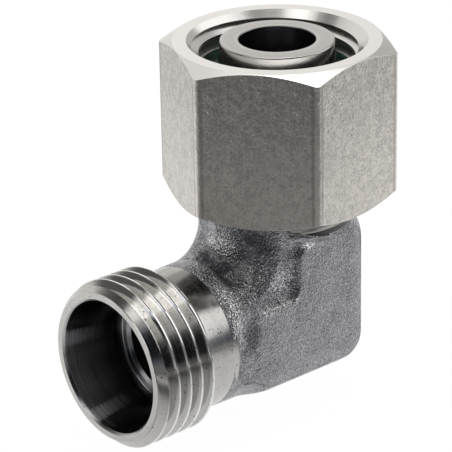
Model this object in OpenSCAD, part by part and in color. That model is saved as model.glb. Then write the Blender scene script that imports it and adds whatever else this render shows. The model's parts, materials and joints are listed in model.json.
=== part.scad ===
// Adjustable elbow fitting: a forged 90 degree body with a 24 degree cone socket and an
// outside thread on one leg, and a swivel nose with a loose union nut on the other.
// The origin is the centre of the swivel nose's tip, and +Z points out of that port.
// The fixed port points along -X.

/* [Tube] */
// Outside diameter of the tube that both ports are made for
tube_d = 12; // [11.6:0.1:12.4]
// Radial clearance of the tube in its socket
tube_clear = 0.05; // [0.02:0.01:0.1]
// Large diameter of the 24 degree sealing cones
cone_d = 14.3; // [14:0.1:14.6]
// Depth of the socket from the port's face to the tube stop
socket_depth = 7; // [6.5:0.25:7.5]

/* [Fixed port] */
// Distance from the crossing of the port axes to the fixed port's face
fixed_reach = 24; // [23.5:0.5:32]
// Diameter of the passage behind the tube stop
fixed_bore_d = 10; // [8:0.5:10.5]
// How far the drill of the fixed port runs past the crossing
drill_past = 1; // [0.5:0.25:1.5]
// Chamfer at the mouth of the cone
mouth_chamfer = 0.25; // [0.1:0.05:0.35]
// Diameter of the turned shank between the thread and the forging
shank_d = 15.4; // [15:0.1:15.8]

/* [Thread] */
// Major diameter of the outside thread and of the nut's thread
thread_d = 18; // [17.8:0.1:18.4]
// Pitch of both threads
thread_pitch = 1.5; // [1.25:0.25:1.5]
// Length of the outside thread from the port's face
thread_len = 7; // [6.5:0.25:8]

/* [Forged body] */
// Width across the two side flats
flats_w = 14; // [13.4:0.1:14.4]
// Distance from the swivel axis to the heel face
heel_x = 6.8; // [6.5:0.1:7.5]
// Distance from the fixed port's axis down to the bottom face
bottom_z = 6.6; // [6.3:0.1:7.5]
// Distance from the swivel axis to the inner face of the upright leg
upright_inner = 7.3; // [6.8:0.1:7.6]
// Distance from the fixed port's axis up to the inner face of the level leg
level_inner = 6.5; // [6.2:0.1:7]
// Radius on the outer long edges of the forging
edge_r = 2.4; // [1.5:0.1:2.8]
// Radius on the inner long edges of the forging
inner_edge_r = 3.7; // [3:0.1:3.9]
// Radius on the corner between the heel and the bottom
corner_r = 3.2; // [3:0.1:4]
// Radius of the crotch between the two legs
crotch_r = 3; // [2.5:0.1:3.2]
// Distance from the swivel axis to the forging's turned end face
forging_reach = 13.2; // [12.9:0.1:13.8]
// Diameter of the round neck at the turned end face
neck_d = 15.6; // [15.5:0.1:16.4]
// Length of the round neck before it runs out into the faces
neck_land = 2.2; // [1.8:0.1:2.4]
// Length over which the neck runs out into the faces
neck_ease = 1.5; // [1.2:0.1:1.8]
// Length over which the block's corners run out into the neck
corner_ease = 3; // [2.4:0.1:3.4]
// How far the corners stand above the neck where they start to run out
corner_rise = 1; // [0.6:0.1:1.2]
// Distance of that run-out's end from the round neck
corner_lead = 1; // [0.6:0.1:1.2]
// Height of the block's top above the fixed port's axis
block_top = 11; // [10.6:0.1:11.4]
// Height of the block's top on its inner side, where it backs the collar
inner_top = 12.1; // [11:0.1:12.2]
// Radius that rounds the block's top down from the collar
shoulder_r = 3.3; // [2.4:0.1:3.6]

/* [Swivel nose] */
// Distance from the crossing of the port axes to the nose's tip
nose_reach = 29.8; // [29.6:0.1:32]
// Diameter of the bore through the nose
nose_bore_d = 8; // [6:0.5:9]
// Height of the collar's lower edge, where it stands out over the side flats
collar_base = 10.4; // [10:0.1:10.5]
// Height of the turned collar's top above the fixed port's axis
collar_top = 12.7; // [12.2:0.1:13]
// Diameter of the turned collar that the nut rests on
collar_d = 16.1; // [15.8:0.1:16.8]
// Chamfer on the collar's upper edge
collar_chamfer = 0.3; // [0.1:0.05:0.4]
// Edge chamfers of the nose's tip
tip_chamfer = 0.35; // [0.1:0.05:0.4]

/* [Union nut] */
// Width across the hexagon's flats
nut_af = 22; // [21.5:0.25:24]
// Height of the nut
nut_h = 17; // [16.5:0.25:18]
// Turn of the nut about its axis, in degrees, to a hexagon corner
nut_turn = 6.5; // [0:0.5:60]
// Diameter of the round face inside the hexagon chamfer
nut_face_d = 21.8; // [20.5:0.1:21.8]
// Thickness of the nut's inner flange
flange_t = 3.4; // [3:0.1:3.6]
// Chamfer at the nut's flange
flange_chamfer = 0.3; // [0.1:0.05:0.4]
// Radial depth of the nut's relief beyond the thread's major diameter
relief_depth = 0.15; // [0.05:0.05:0.3]
// Outer diameter of the chamfer at the nut's mouth
nut_mouth_d = 18.9; // [18.6:0.1:19.4]
// Radial clearance between the nut's flange and the stem
nut_clear = 0.2; // [0.15:0.05:0.3]
// Gap between the nut and the collar when the nut is down
nut_seat_gap = 0.1; // [0.05:0.05:0.2]
// Free travel of the nut along the stem
nut_travel = 2; // [1:0.25:2.5]

/* [Retaining ring] */
// Wire diameter of the retaining ring
wire_d = 1.8; // [1.6:0.1:1.8]
// Opening angle of the retaining ring
ring_gap_angle = 24; // [10:2:40]
// Radial clearance between the ring and the nut's thread crests
ring_nut_clear = 0.2; // [0.15:0.05:0.3]
// Room between the ring and the top of the nut's relief when the nut is down
ring_room = 0.5; // [0.3:0.1:0.8]
// Clearance of the wire in its groove
ring_groove_clear = 0.1; // [0.05:0.05:0.15]

/* [Cone seal] */
// Section diameter of the O-ring
o_ring_d = 1.5; // [1.3:0.1:1.6]
// How far the O-ring stands out of the cone
o_ring_proud = 0.3; // [0.2:0.05:0.4]
// Distance from the cone's large end to the middle of the O-ring
o_ring_back = 1.5; // [1.2:0.1:2]
// Width that the groove has beyond the O-ring's section
groove_play = 0.3; // [0.1:0.05:0.5]
// Clearance between the O-ring and the groove's floor
groove_clear = 0.02; // [0.01:0.01:0.05]

/* [Hidden] */
$fn = 96;
// Slack that carries a cut past the face it opens
eps = 0.5;
// Overlap of two solids that meet along a curved seam
seam = 0.01;
cone_slope = tan(12);
drill_slope = tan(59);
socket_r = tube_d / 2 + tube_clear;
cone_r = cone_d / 2;
thread_depth = 0.6134 * thread_pitch;
nut_minor_r = (thread_d - 1.0825 * thread_pitch) / 2;
nut_relief_r = thread_d / 2 + relief_depth;
neck_r = neck_d / 2;
collar_r = collar_d / 2;
bend_x = upright_inner + crotch_r;
bend_z = level_inner + crotch_r;
flat_y = flats_w / 2;
heel_corner_r = norm([heel_x - edge_r, flat_y - edge_r]) + edge_r;
nose_base = nose_reach - socket_depth;
nut_z = collar_top + nut_seat_gap;
ring_r = nut_minor_r - ring_nut_clear - wire_d / 2;
ring_rest_r = ring_r + wire_d / 2 * cos(45);
flange_bore_r = cone_r + nut_clear;
ring_z = nut_z + flange_t + ring_rest_r - flange_bore_r + nut_travel + wire_d / 2 * sin(45);
relief_top = ring_z + wire_d / 2 + ring_room;
o_ring_z = nose_base + o_ring_back;
o_ring_r = cone_r - o_ring_back * cone_slope + o_ring_proud - o_ring_d / 2;
groove_floor_r = o_ring_r - o_ring_d / 2 - groove_clear;
groove_w = o_ring_d + groove_play;

// Moves a shape from the crossing of the port axes to the frame of the part
module from_crossing() {
    translate([0, 0, -nose_reach]) children();
}

// Turns a shape made along +Z so that it runs along -X
module along_fixed_port() {
    rotate([0, -90, 0]) children();
}

// Turned solid about Z from its half outline, given as radius and height
module turned(outline) {
    rotate_extrude() polygon(outline);
}

// Half of a leg's section: outer face at y = depth, with its two corners rounded
module half_section(depth, corner) {
    difference() {
        translate([-flat_y, 0]) square([flats_w, depth]);
        for (side = [0, 1]) mirror([side, 0]) translate([flat_y - corner, depth - corner]) difference() {
            square(corner + eps);
            circle(corner);
        }
    }
}

// Outer half of the forged bar: heel, bottom and the rounded corner between them
module outer_half() {
    intersection() {
        translate([0, 0, corner_r - bottom_z])
            linear_extrude(block_top + bottom_z - corner_r) rotate(-90) half_section(heel_x, edge_r);
        rotate_extrude() {
            translate([0, -bottom_z]) square([heel_corner_r + eps, block_top + bottom_z - shoulder_r]);
            square([heel_corner_r - shoulder_r, block_top]);
            intersection() {
                translate([heel_corner_r - shoulder_r, block_top - shoulder_r]) circle(shoulder_r);
                square([heel_corner_r, block_top]);
            }
        }
    }
    translate([heel_x - corner_r, 0, 0]) rotate([0, -90, 0])
        linear_extrude(forging_reach + heel_x - corner_r) rotate(90) half_section(bottom_z, edge_r);
    translate([heel_x - corner_r, 0, corner_r - bottom_z]) rotate([90, 0, 0])
        rotate_extrude(angle = -90) rotate(-90) half_section(corner_r, edge_r);
}

// Inner half of the forged bar: the crotch, swept about its own axis, and the upright's top
module inner_half() {
    full_r = crotch_r + inner_edge_r;
    translate([-bend_x, 0, bend_z]) rotate([90, 0, 0]) {
        rotate_extrude(angle = -90) translate([full_r, 0])
            rotate(90) half_section(inner_edge_r, inner_edge_r);
        linear_extrude(flats_w, center = true) difference() {
            translate([0, -bend_z]) square([bend_x, bend_z]);
            circle(full_r - seam);
        }
    }
    translate([0, 0, bend_z]) linear_extrude(inner_top - bend_z)
        rotate(90) half_section(upright_inner, inner_edge_r);
}

// Round back of the collar, which swells out of the upright's inner face down to the crotch
module inner_neck() {
    back_y = flat_y - inner_edge_r / 2;
    intersection() {
        translate([0, 0, level_inner]) cylinder(r = collar_r, h = inner_top - level_inner);
        translate([-collar_d, -back_y, 0]) cube([collar_d, 2 * back_y, inner_top]);
    }
}

// Inner half of the level leg beyond the crotch
module inner_level() {
    translate([-bend_x, 0, 0]) rotate([0, -90, 0])
        linear_extrude(forging_reach - bend_x) rotate(-90) half_section(level_inner, inner_edge_r);
}

// Limit of the level leg's corners, which run out into the round neck
module corner_limit() {
    start = forging_reach - neck_land - corner_lead;
    along_fixed_port() turned([
        [0, -neck_d], [neck_d, -neck_d], [neck_d, start - corner_ease],
        [neck_r + corner_rise, start - corner_ease], [neck_r, start],
        [neck_r, forging_reach], [0, forging_reach]
    ]);
}

// Round neck that runs out into the level leg's faces
module forged_neck() {
    start = forging_reach - neck_land;
    along_fixed_port() turned([
        [0, start - neck_ease], [neck_r - neck_ease, start - neck_ease],
        [neck_r, start], [neck_r, forging_reach], [0, forging_reach]
    ]);
}

// Forged elbow before machining
module forging() {
    intersection() {
        union() {
            outer_half();
            inner_level();
        }
        corner_limit();
    }
    inner_half();
    inner_neck();
    forged_neck();
}

// Everything on the swivel side that a lathe turns: collar, stem, ring groove, cone and tip
module nose() {
    tip_r = tube_d / 2;
    difference() {
        turned([
            [0, collar_base], [collar_r, collar_base], [collar_r, collar_top - collar_chamfer],
            [collar_r - collar_chamfer, collar_top], [cone_r, collar_top], [cone_r, nose_base],
            [tip_r, nose_base + (cone_r - tip_r) / cone_slope],
            [tip_r, nose_reach - tip_chamfer], [tip_r - tip_chamfer, nose_reach], [0, nose_reach]
        ]);
        translate([0, 0, ring_z]) rotate_extrude()
            translate([ring_r, 0]) circle(wire_d / 2 + ring_groove_clear);
        translate([0, 0, o_ring_z - groove_w / 2]) difference() {
            cylinder(r = cone_r + eps, h = groove_w);
            translate([0, 0, -eps]) cylinder(r = groove_floor_r, h = groove_w + 2 * eps);
        }
    }
}

// Fixed port: turned shank and the thread's plain major cylinder with its end chamfers
module fixed_port() {
    shank_r = shank_d / 2;
    start = fixed_reach - thread_len;
    along_fixed_port() turned([
        [0, forging_reach - eps], [shank_r, forging_reach - eps],
        [shank_r, start - thread_d / 2 + shank_r], [thread_d / 2, start],
        [thread_d / 2, fixed_reach - thread_depth],
        [thread_d / 2 - thread_depth, fixed_reach], [0, fixed_reach]
    ]);
}

// Passage through both legs, with the socket, cone and tube stop of the fixed port
module passage() {
    bore_r = nose_bore_d / 2;
    side_r = fixed_bore_d / 2;
    stop = fixed_reach - socket_depth;
    mouth_r = cone_r + mouth_chamfer;
    translate([0, 0, -bore_r / drill_slope]) turned([
        [0, 0], [bore_r, bore_r / drill_slope], [bore_r, nose_reach + bore_r / drill_slope - tip_chamfer],
        [bore_r + tip_chamfer + eps, nose_reach + bore_r / drill_slope + eps],
        [0, nose_reach + bore_r / drill_slope + eps]
    ]);
    along_fixed_port() turned([
        [0, -drill_past - side_r / drill_slope], [side_r, -drill_past], [side_r, stop], [socket_r, stop],
        [socket_r, fixed_reach - mouth_chamfer - (cone_r - socket_r) / cone_slope],
        [cone_r, fixed_reach - mouth_chamfer],
        [mouth_r + eps, fixed_reach + eps], [0, fixed_reach + eps]
    ]);
}

// One-piece body: forging, turned ends and the drilled passage
module elbow_body() {
    color([0.56, 0.56, 0.57]) from_crossing() difference() {
        union() {
            forging();
            nose();
            fixed_port();
        }
        passage();
    }
}

// Hexagon with both ends chamfered at 30 degrees
module chamfered_hexagon() {
    corner_radius = nut_af / 2 / cos(30);
    face_r = nut_face_d / 2;
    drop = (corner_radius + eps - face_r) * tan(30);
    intersection() {
        cylinder(r = corner_radius, h = nut_h, $fn = 6);
        turned([
            [0, 0], [face_r, 0], [corner_radius + eps, drop],
            [corner_radius + eps, nut_h - drop], [face_r, nut_h], [0, nut_h]
        ]);
    }
}

// Loose union nut: flange, bearing shoulder, thread relief and thread core
module swivel_nut() {
    shoulder_top = flange_t + nut_relief_r - flange_bore_r;
    relief_end = relief_top - nut_z;
    mouth_r = nut_mouth_d / 2;
    color([0.66, 0.65, 0.62]) from_crossing() translate([0, 0, nut_z]) rotate(nut_turn) difference() {
        chamfered_hexagon();
        turned([
            [0, -eps], [flange_bore_r + flange_chamfer + eps, -eps], [flange_bore_r, flange_chamfer],
            [flange_bore_r, flange_t], [nut_relief_r, shoulder_top],
            [nut_relief_r, relief_end], [nut_minor_r, relief_end + nut_relief_r - nut_minor_r],
            [nut_minor_r, nut_h - mouth_r + nut_minor_r], [mouth_r + eps, nut_h + eps],
            [0, nut_h + eps]
        ]);
    }
}

// Open round-wire ring that keeps the nut on the stem
module retaining_ring() {
    color([0.45, 0.45, 0.46]) from_crossing() translate([0, 0, ring_z])
        rotate(ring_gap_angle / 2) rotate_extrude(angle = 360 - ring_gap_angle)
            translate([ring_r, 0]) circle(wire_d / 2);
}

// O-ring in the groove of the cone
module cone_o_ring() {
    color([0.05, 0.36, 0.26]) from_crossing() translate([0, 0, o_ring_z])
        rotate_extrude() translate([o_ring_r, 0]) circle(o_ring_d / 2);
}

elbow_body();
swivel_nut();
retaining_ring();
cone_o_ring();
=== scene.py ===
"""Adjustable elbow fitting: a blasted forged body, a threaded cone socket and a swivel nut.

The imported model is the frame. Pieces are modelled in millimetres about the crossing of the
two port axes, and are then scaled and moved into the frame, whose origin is the nose's tip.
"""
import json
import logging
import math
from dataclasses import dataclass
from enum import Enum
from typing import Any, Callable, Sequence

import bpy
from mathutils import Euler, Matrix, Vector


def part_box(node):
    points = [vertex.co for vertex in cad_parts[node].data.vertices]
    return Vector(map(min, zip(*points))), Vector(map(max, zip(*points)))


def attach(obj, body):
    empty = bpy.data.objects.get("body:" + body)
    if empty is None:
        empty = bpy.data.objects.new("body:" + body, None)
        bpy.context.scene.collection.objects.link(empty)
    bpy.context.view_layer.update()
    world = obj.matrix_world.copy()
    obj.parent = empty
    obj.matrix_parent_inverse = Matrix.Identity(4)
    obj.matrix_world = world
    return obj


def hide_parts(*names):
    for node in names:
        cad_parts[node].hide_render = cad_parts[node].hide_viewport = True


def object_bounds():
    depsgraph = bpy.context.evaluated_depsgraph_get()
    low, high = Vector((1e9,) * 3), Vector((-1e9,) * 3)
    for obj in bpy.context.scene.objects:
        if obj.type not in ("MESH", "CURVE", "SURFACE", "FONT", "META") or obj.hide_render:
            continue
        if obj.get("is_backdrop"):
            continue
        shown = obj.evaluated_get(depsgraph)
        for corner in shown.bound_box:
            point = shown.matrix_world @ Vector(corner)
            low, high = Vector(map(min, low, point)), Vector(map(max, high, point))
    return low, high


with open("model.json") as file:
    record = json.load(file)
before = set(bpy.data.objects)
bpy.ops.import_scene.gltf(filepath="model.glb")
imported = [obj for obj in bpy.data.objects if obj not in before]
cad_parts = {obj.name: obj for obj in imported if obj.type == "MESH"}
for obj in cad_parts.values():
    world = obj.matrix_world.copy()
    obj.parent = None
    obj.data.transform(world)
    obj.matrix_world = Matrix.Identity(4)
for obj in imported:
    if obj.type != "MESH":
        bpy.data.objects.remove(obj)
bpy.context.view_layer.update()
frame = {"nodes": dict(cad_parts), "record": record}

log = logging.getLogger("elbow_fitting")

MM = 0.001
Point = tuple[float, float]
Colour = tuple[float, float, float]

# Faces round what is turned: drills, tools, finished pieces, and the nut's large chamfers
DRILL_STEPS = 96
TOOL_STEPS = 128
TURN_STEPS = 144
CHAMFER_STEPS = 192
# Distance within which two places in a mesh count as one, in millimetres
TOUCH = 1e-3
# Distance that keeps two faces of a Boolean out of one plane, in millimetres
SLACK = 0.02
# Slope of a drill's point and of the nut's end chamfers
DRILL_SLOPE = math.tan(math.radians(59))
CHAMFER_SLOPE = math.tan(math.radians(30))
# Turn that lays what is made along Z along the fixed port's axis
TO_FIXED = Matrix.Rotation(math.radians(-90), 4, "Y")


class Axis(Enum):
    """The port axis that a turned piece is made about."""

    SWIVEL = "swivel"
    FIXED = "fixed"


def bearing(azimuth: float, elevation: float) -> Vector:
    """Returns the unit way at an azimuth from +X and a height above the horizon, in degrees."""
    az, el = math.radians(azimuth), math.radians(elevation)
    return Vector((math.cos(az) * math.cos(el), math.sin(az) * math.cos(el), math.sin(el)))


def crossing() -> Vector:
    """Returns where the two port axes cross, in the frame, in metres."""
    mounts = {mount["name"]: mount for mount in frame["record"]["mounts"]}
    return Vector((0.0, 0.0, mounts["tube_socket"]["pos_m"][2]))


@dataclass(frozen=True)
class TubeSize:
    """Sizes that both ports share, in millimetres.

    Args:
        tube_r: Outer radius of the tube and of the nose's tip.
        socket_r: Radius of the tube's seat.
        cone_r: Large radius of the sealing cones.
        cone_slope: Fall of a cone's radius along its axis.
        socket_depth: Depth of the tube stop from the port's face.
    """

    tube_r: float = 6.0
    socket_r: float = 6.05
    cone_r: float = 7.15
    cone_slope: float = math.tan(math.radians(12))
    socket_depth: float = 7.0


@dataclass(frozen=True)
class ThreadForm:
    """A 60 degree metric thread, in millimetres.

    Args:
        nominal_r: Half the thread's nominal size.
        major_r: Radius over the outside thread's crests.
        pitch: Distance between two crests.
    """

    nominal_r: float = 9.0
    major_r: float = 8.96
    pitch: float = 1.5

    @property
    def depth(self) -> float:
        """Returns the depth of the outside thread."""
        return 0.6134 * self.pitch

    @property
    def root_r(self) -> float:
        """Returns the radius at the outside thread's roots."""
        return self.major_r - self.depth

    @property
    def inside_crest_r(self) -> float:
        """Returns the radius at the inside thread's crests."""
        return self.nominal_r - 0.5413 * self.pitch

    def ridge(self, root_r: float, crest_r: float, crest_w: float, sink: float) -> list[Point]:
        """Returns the closed section of one ridge, whose foot is sunk past the root.

        Args:
            root_r: Radius at the ridge's foot.
            crest_r: Radius at the ridge's flat crest.
            crest_w: Width of the flat crest.
            sink: Distance that the foot goes past the root.

        Returns:
            Four corners as radius and height, for a helix to sweep.
        """
        away = math.copysign(sink, root_r - crest_r)
        foot_r = root_r + away
        half_crest = crest_w / 2
        half_foot = half_crest + abs(crest_r - foot_r) * math.tan(math.radians(30))
        return [(foot_r, -half_foot), (crest_r, -half_crest), (crest_r, half_crest), (foot_r, half_foot)]


class Bench:
    """Modelling steps that the pieces share. They work in millimetres about the crossing."""

    @staticmethod
    def clear() -> None:
        """Leaves edit mode and deselects every object."""
        if bpy.context.object and bpy.context.object.mode != "OBJECT":
            bpy.ops.object.mode_set(mode="OBJECT")
        bpy.ops.object.select_all(action="DESELECT")

    @staticmethod
    def only(piece: bpy.types.Object) -> bpy.types.Object:
        """Selects one object alone, makes it active and returns it."""
        Bench.clear()
        piece.select_set(True)
        bpy.context.view_layer.objects.active = piece
        return piece

    @staticmethod
    def edit(piece: bpy.types.Object, mode: str = "VERT", every: bool = False) -> None:
        """Goes into edit mode on one object.

        Args:
            piece: The object to edit.
            mode: What is selected: VERT, EDGE or FACE.
            every: Whether all of the mesh is selected at first.
        """
        Bench.only(piece)
        bpy.ops.object.mode_set(mode="EDIT")
        bpy.ops.mesh.select_mode(type=mode)
        bpy.ops.mesh.select_all(action="SELECT" if every else "DESELECT")

    @staticmethod
    def done() -> None:
        """Goes back to object mode."""
        bpy.ops.object.mode_set(mode="OBJECT")

    @staticmethod
    def close(piece: bpy.types.Object, gap: float = 1e-4) -> None:
        """Merges doubles and turns the faces outwards.

        Args:
            piece: The object to close.
            gap: Distance within which vertices are merged.
        """
        Bench.edit(piece, every=True)
        bpy.ops.mesh.remove_doubles(threshold=gap)
        bpy.ops.mesh.normals_make_consistent(inside=False)
        Bench.done()

    @staticmethod
    def chain(name: str, points: Sequence[Point], closed: bool) -> bpy.types.Object:
        """Draws a line of edges in the XZ plane by extruding one vertex.

        Args:
            name: Name of the new object.
            points: Corners as radius and height.
            closed: Whether the last point joins the first.

        Returns:
            The object that holds the line.
        """
        Bench.clear()
        bpy.ops.mesh.primitive_plane_add(size=1.0)
        line = bpy.context.object
        line.name = name
        Bench.edit(line, every=True)
        bpy.ops.mesh.merge(type="CENTER")
        bpy.ops.transform.translate(value=(points[0][0], 0.0, points[0][1]))
        for (r0, z0), (r1, z1) in zip(points, points[1:]):
            step = (r1 - r0, 0.0, z1 - z0)
            bpy.ops.mesh.extrude_region_move(TRANSFORM_OT_translate={"value": step})
        if closed:
            bpy.ops.mesh.select_all(action="DESELECT")
            Bench.done()
            for end in (points[0], points[-1]):
                place = Vector((end[0], 0.0, end[1]))
                min(line.data.vertices, key=lambda v: (v.co - place).length).select = True
            bpy.ops.object.mode_set(mode="EDIT")
            bpy.ops.mesh.edge_face_add()
        Bench.done()
        return line

    @staticmethod
    def lathe(name: str, points: Sequence[Point], steps: int = TOOL_STEPS,
              closed: bool = True) -> bpy.types.Object:
        """Spins an outline about Z.

        Args:
            name: Name of the new object.
            points: The outline as radius and height.
            steps: Number of faces round the axis.
            closed: Whether the outline is a ring that doesn't touch the axis.

        Returns:
            The closed, turned solid.
        """
        solid = Bench.chain(name, points, closed)
        Bench.edit(solid, every=True)
        bpy.ops.mesh.spin(steps=steps, angle=math.tau, center=(0, 0, 0), axis=(0, 0, 1))
        Bench.done()
        Bench.close(solid)
        return solid

    @staticmethod
    def helix(name: str, section: Sequence[Point], pitch: float, turns: int,
              start: float) -> bpy.types.Object:
        """Sweeps a closed section along a right-hand helix about Z.

        Args:
            name: Name of the new object.
            section: Corners as radius and height.
            pitch: Rise of one turn.
            turns: Number of turns.
            start: Height of the section's middle where the helix starts.

        Returns:
            The closed ridge.
        """
        ridge = Bench.chain(name, [(r, z + start) for r, z in section], closed=True)
        screw = ridge.modifiers.new("Helix", "SCREW")
        screw.angle = math.tau
        screw.screw_offset = pitch
        screw.iterations = turns
        screw.steps = TURN_STEPS
        screw.render_steps = TURN_STEPS
        screw.use_merge_vertices = False
        screw.use_normal_calculate = False
        Bench.only(ridge)
        bpy.ops.object.modifier_apply(modifier=screw.name)
        Bench.edit(ridge, every=True)
        bpy.ops.mesh.remove_doubles(threshold=1e-5)
        bpy.ops.mesh.fill_holes(sides=len(section))
        bpy.ops.mesh.normals_make_consistent(inside=False)
        Bench.done()
        return ridge

    @staticmethod
    def combine(piece: bpy.types.Object, tool: bpy.types.Object, how: str) -> None:
        """Joins, cuts or limits a piece with a tool, which is used up.

        Args:
            piece: The object that is changed.
            tool: The object that changes it.
            how: UNION, DIFFERENCE or INTERSECT.
        """
        cut = piece.modifiers.new("Cut", "BOOLEAN")
        cut.operation = how
        cut.object = tool
        cut.solver = "EXACT"
        Bench.only(piece)
        bpy.ops.object.modifier_apply(modifier=cut.name)
        bpy.data.objects.remove(tool, do_unlink=True)

    @staticmethod
    def block(name: str, corner: Sequence[float], far: Sequence[float]) -> bpy.types.Object:
        """Makes a block between two opposite corners.

        Args:
            name: Name of the new object.
            corner: One corner.
            far: The corner across from it.

        Returns:
            The block.
        """
        Bench.clear()
        low, high = Vector(corner), Vector(far)
        bpy.ops.mesh.primitive_cube_add(size=1.0, location=(low + high) / 2)
        block = bpy.context.object
        block.name = name
        block.scale = [abs(side) for side in high - low]
        bpy.ops.object.transform_apply(location=True, rotation=True, scale=True)
        return block

    @staticmethod
    def trim(piece: bpy.types.Object, place: Sequence[float], way: Sequence[float]) -> None:
        """Cuts a closed solid at a plane and closes it again.

        Args:
            piece: The solid.
            place: A point on the plane.
            way: The plane's normal, towards the side that is cut away.
        """
        Bench.edit(piece, every=True)
        normal = Vector(way).normalized()
        bpy.ops.mesh.bisect(plane_co=place, plane_no=normal, clear_outer=True, use_fill=True)
        Bench.done()

    @staticmethod
    def pick_edges(piece: bpy.types.Object, test: Callable[[Vector, Vector], bool]) -> None:
        """Selects, in object mode, the edges whose two ends pass a test."""
        points = piece.data.vertices
        for edge in piece.data.edges:
            edge.select = test(points[edge.vertices[0]].co, points[edge.vertices[1]].co)

    @staticmethod
    def bevel(piece: bpy.types.Object, width: float, segments: int,
              test: Callable[[Vector, Vector], bool]) -> None:
        """Rounds the edges whose ends pass a test.

        Args:
            piece: The object whose edges are rounded.
            width: Width of the round, which is its radius on a square edge.
            segments: Number of faces across the round.
            test: Takes the two ends of an edge.
        """
        Bench.edit(piece, mode="EDGE")
        Bench.done()
        Bench.pick_edges(piece, test)
        bpy.ops.object.mode_set(mode="EDIT")
        bpy.ops.mesh.bevel(offset=width, segments=segments, affect="EDGES", clamp_overlap=False)
        Bench.done()

    @staticmethod
    def settle(piece: bpy.types.Object, move: Matrix) -> None:
        """Moves a piece, and takes the move into its mesh."""
        piece.matrix_world = move
        Bench.only(piece)
        bpy.ops.object.transform_apply(location=True, rotation=True, scale=True)

    @staticmethod
    def place(piece: bpy.types.Object, axis: Axis = Axis.SWIVEL) -> None:
        """Scales a piece from millimetres and moves it into the frame.

        Args:
            piece: The object, made about Z with the crossing at its origin.
            axis: The port axis that the piece's Z becomes.
        """
        turn = TO_FIXED if axis is Axis.FIXED else Matrix.Identity(4)
        Bench.settle(piece, Matrix.Translation(crossing()) @ turn @ Matrix.Scale(MM, 4))

    @staticmethod
    def smooth(piece: bpy.types.Object, angle: float) -> None:
        """Shades a piece smooth, with creases where its faces meet at more than an angle in degrees."""
        Bench.only(piece)
        bpy.ops.object.shade_smooth_by_angle(angle=math.radians(angle))


def rounded(points: Sequence[Point], radii: dict[int, float], segments: int = 5) -> list[Point]:
    """Rounds some corners of an outline with arcs.

    Args:
        points: The outline's corners.
        radii: The radius at each rounded corner, by its place in the outline.
        segments: Number of edges in each arc.

    Returns:
        The outline with its arcs.
    """
    out: list[Point] = []
    for place, corner in enumerate(points):
        radius = radii.get(place, 0.0)
        if not radius:
            out.append(corner)
            continue
        here = Vector(corner)
        back = (Vector(points[place - 1]) - here).normalized()
        ahead = (Vector(points[(place + 1) % len(points)]) - here).normalized()
        half = back.angle(ahead) / 2
        reach = radius / math.tan(half)
        centre = here + (back + ahead).normalized() * (radius / math.sin(half))
        start = here + back * reach - centre
        end = here + ahead * reach - centre
        sweep = start.angle_signed(end)
        for step in range(segments + 1):
            turn = -sweep * step / segments
            spun = Vector((start.x * math.cos(turn) - start.y * math.sin(turn),
                           start.x * math.sin(turn) + start.y * math.cos(turn)))
            out.append(tuple(centre + spun))
    return out


class Sock:
    """A shader socket whose operators add Math nodes."""

    def __init__(self, kit: "NodeKit", socket: Any) -> None:
        self.kit = kit
        self.socket = socket

    def _math(self, operation: str, *values: Any) -> "Sock":
        """Adds a Math node on the given values."""
        return self.kit.node("ShaderNodeMath", {"operation": operation}, dict(enumerate(values)))

    def __add__(self, other: Any) -> "Sock":
        """Returns the sum."""
        return self._math("ADD", self, other)

    __radd__ = __add__

    def __sub__(self, other: Any) -> "Sock":
        """Returns the difference."""
        return self._math("SUBTRACT", self, other)

    def __rsub__(self, other: Any) -> "Sock":
        """Returns the difference, the other way round."""
        return self._math("SUBTRACT", other, self)

    def __mul__(self, other: Any) -> "Sock":
        """Returns the product."""
        return self._math("MULTIPLY", self, other)

    __rmul__ = __mul__

    def __truediv__(self, other: Any) -> "Sock":
        """Returns the quotient."""
        return self._math("DIVIDE", self, other)

    def __pow__(self, other: Any) -> "Sock":
        """Returns the power."""
        return self._math("POWER", self, other)

    def above(self, limit: Any) -> "Sock":
        """Returns 1 where the value is over a limit, else 0."""
        return self._math("GREATER_THAN", self, limit)

    def size(self) -> "Sock":
        """Returns the value without its sign."""
        return self._math("ABSOLUTE", self)

    def at_most(self, other: Any) -> "Sock":
        """Returns the smaller of two values."""
        return self._math("MINIMUM", self, other)

    def at_least(self, other: Any) -> "Sock":
        """Returns the larger of two values."""
        return self._math("MAXIMUM", self, other)

    def across(self, other: "Sock") -> "Sock":
        """Returns the length of two parts at right angles."""
        return (self * self + other * other) ** 0.5

    def ramp(self, low: float, high: float, to_low: float = 0.0, to_high: float = 1.0) -> "Sock":
        """Returns the value taken smoothly from one range to another."""
        return self.kit.node("ShaderNodeMapRange", {"interpolation_type": "SMOOTHSTEP"}, {
            "Value": self, "From Min": low, "From Max": high, "To Min": to_low, "To Max": to_high})


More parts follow.
